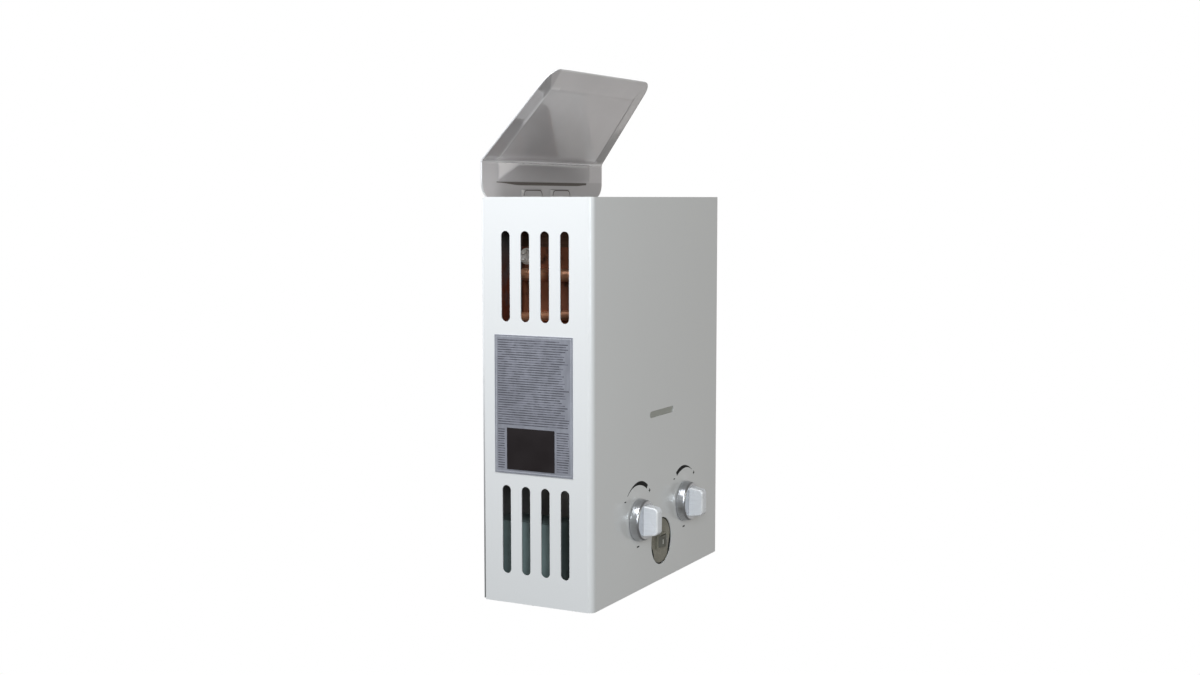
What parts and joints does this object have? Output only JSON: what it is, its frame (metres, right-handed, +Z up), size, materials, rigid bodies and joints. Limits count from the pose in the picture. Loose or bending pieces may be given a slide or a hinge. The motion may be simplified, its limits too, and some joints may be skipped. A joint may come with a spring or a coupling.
{
  "type": "gas water heater",
  "caption": "Flat wall-hung gas water heater with slotted sides, a leaning flue deflector, two front knobs and a rocker switch, with its burner, heat exchanger and valves inside.",
  "frame": {"origin": "centre of the hanging hole on the wall plane", "axes": "+Z up, +Y into the wall, front faces -Y, +X to the right seen from the front"},
  "size_m": [0.2959, 0.144, 0.5305],
  "materials": {
    "cover_paint": "satin white enamel",
    "plate_zinc": "zinc-plated sheet",
    "deflector_sheet": "smooth grey sheet",
    "label_silver": "matt foil",
    "label_dark": "dark gloss",
    "copper": "heat-stained copper",
    "burner_steel": "stainless, heat-tinted",
    "brass": "machined",
    "aluminium_cast": "die-cast",
    "rubber": "matt",
    "knob_silver": "satin silver",
    "switch_olive": "satin olive grey",
    "rocker_dark": "satin",
    "black_plastic": "matt black",
    "box_green": "grey-green",
    "white_ceramic": "glazed",
    "mica_glass": "smoked",
    "lead_silicone": "silicone",
    "screw_steel": "zinc-plated",
    "cell_jacket": "plain jacket",
    "spring_steel": "spring steel"
  },
  "bodies": {
    "case": {"back_plate": "plate_zinc", "battery_box": "box_green", "battery_cells": "cell_jacket", "bottom_panel": "plate_zinc", "burner_bar_1": "burner_steel", "burner_bar_2": "burner_steel", "burner_bar_3": "burner_steel", "burner_bar_4": "burner_steel", "burner_bar_5": "burner_steel", "burner_bar_6": "burner_steel", "burner_frame": "burner_steel", "cold_inlet_fitting": "brass", "cold_pipe": "copper", "cover_screws": "screw_steel", "data_plate": "label_silver", "data_plate_field": "label_dark", "diaphragm": "rubber", "drain_plug": "brass", "exchanger_brackets": "plate_zinc", "exchanger_fins": "copper", "exchanger_shell": "copper", "exchanger_tube": "copper", "flame_sensor": "white_ceramic", "flue_deflector": "deflector_sheet", "front_cover": "cover_paint", "gas_inlet_fitting": "brass", "gas_manifold": "brass", "gas_pipe": "aluminium_cast", "gas_valve_body": "aluminium_cast", "gas_valve_cap": "brass", "hot_outlet_fitting": "brass", "hot_pipe": "copper", "igniter_box": "black_plastic", "ignition_lead": "lead_silicone", "microswitch": "black_plastic", "microswitch_bracket": "plate_zinc", "overheat_thermostat": "white_ceramic", "rod_gland": "brass", "sensor_lead": "lead_silicone", "smoke_hood": "burner_steel", "spark_electrode": "white_ceramic", "switch_housing": "switch_olive", "switch_plate": "switch_olive", "top_panel": "plate_zinc", "valve_screws": "screw_steel", "view_window": "mica_glass", "water_valve_body": "brass", "water_valve_cover": "brass", "window_clip": "plate_zinc", "wrap_coil": "copper"},
    "gas_control": {"gas_knob": "knob_silver", "gas_stem": "brass"},
    "water_control": {"water_knob": "knob_silver", "water_stem": "brass"},
    "switch_rocker": {"switch_rocker": "rocker_dark"},
    "valve_rod": {"push_rod": "brass", "gas_valve_disc": "rubber", "return_spring": "spring_steel"},
    "microswitch_lever": {"microswitch_lever": "spring_steel"},
    "battery_door": {"battery_door": "box_green"}
  },
  "joints": [
    {"name": "gas_knob_turn", "type": "hinge", "parent": "case", "child": "gas_control", "pos_m": [-0.051, -0.1208, -0.288], "axis": [0, -1, 0], "range_deg": [-45, 45]},
    {"name": "water_knob_turn", "type": "hinge", "parent": "case", "child": "water_control", "pos_m": [0.058, -0.1208, -0.288], "axis": [0, -1, 0], "range_deg": [-45, 45]},
    {"name": "rocker_press", "type": "hinge", "parent": "case", "child": "switch_rocker", "pos_m": [0.0035, -0.117, -0.32], "axis": [0, 0, 1], "range_deg": [-22, 0]},
    {"name": "valve_rod_slide", "type": "slide", "parent": "case", "child": "valve_rod", "axis": [-1, 0, 0], "range_m": [0, 0.003], "stiffness_N_per_m": 400, "springref_m": -0.003},
    {"name": "microswitch_lever_turn", "type": "hinge", "parent": "case", "child": "microswitch_lever", "pos_m": [-0.00955, -0.073, -0.2778], "axis": [0, 1, 0], "range_deg": [0, 26.5]},
    {"name": "battery_door_swing", "type": "hinge", "parent": "case", "child": "battery_door", "pos_m": [-0.0953, -0.001, -0.358], "axis": [0, -1, 0], "range_deg": [0, 95]}
  ],
  "couplings": [
    {"joint": "microswitch_lever_turn", "follows": "valve_rod_slide", "rad_per_m": 151.26}
  ]
}
